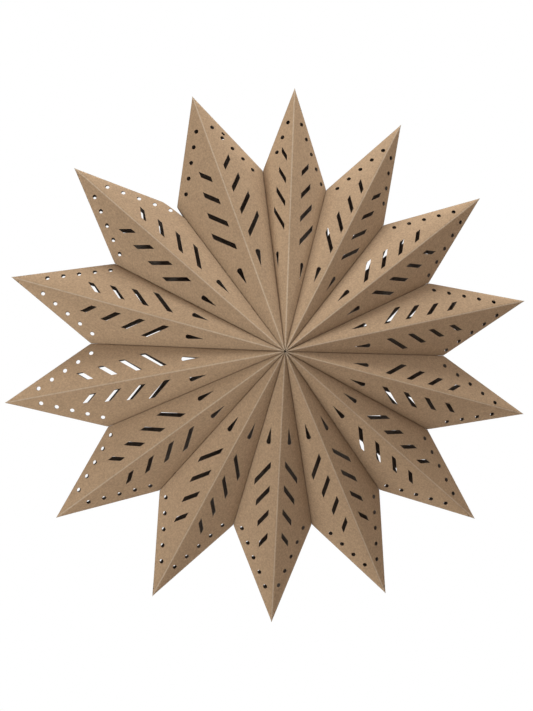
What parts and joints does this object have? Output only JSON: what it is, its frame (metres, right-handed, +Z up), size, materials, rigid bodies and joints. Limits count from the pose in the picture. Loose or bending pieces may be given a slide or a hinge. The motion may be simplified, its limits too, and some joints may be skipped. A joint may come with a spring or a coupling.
{
  "type": "folded paper star",
  "caption": "Hanging star of kraft paper: folded hollow points fanned round a hub and glued edge to edge, cut with slanted slots, drops and dots.",
  "frame": {"origin": "middle of the star, halfway between the front hub and the back hub", "axes": "+Y runs through the star from its front to its back, so the front faces -Y, +X is to the right seen from the front, and +Z is up"},
  "size_m": [0.5886, 0.1394, 0.5991],
  "materials": {
    "kraft_paper": "matt uncoated brown paper with a fine grain"
  },
  "bodies": {
    "root": {"point_01": "kraft_paper", "point_02": "kraft_paper", "point_03": "kraft_paper", "point_04": "kraft_paper", "point_05": "kraft_paper", "point_06": "kraft_paper", "point_07": "kraft_paper", "point_08": "kraft_paper", "point_09": "kraft_paper", "point_10": "kraft_paper", "point_11": "kraft_paper", "point_12": "kraft_paper", "point_13": "kraft_paper", "point_14": "kraft_paper"}
  },
  "joints": []
}
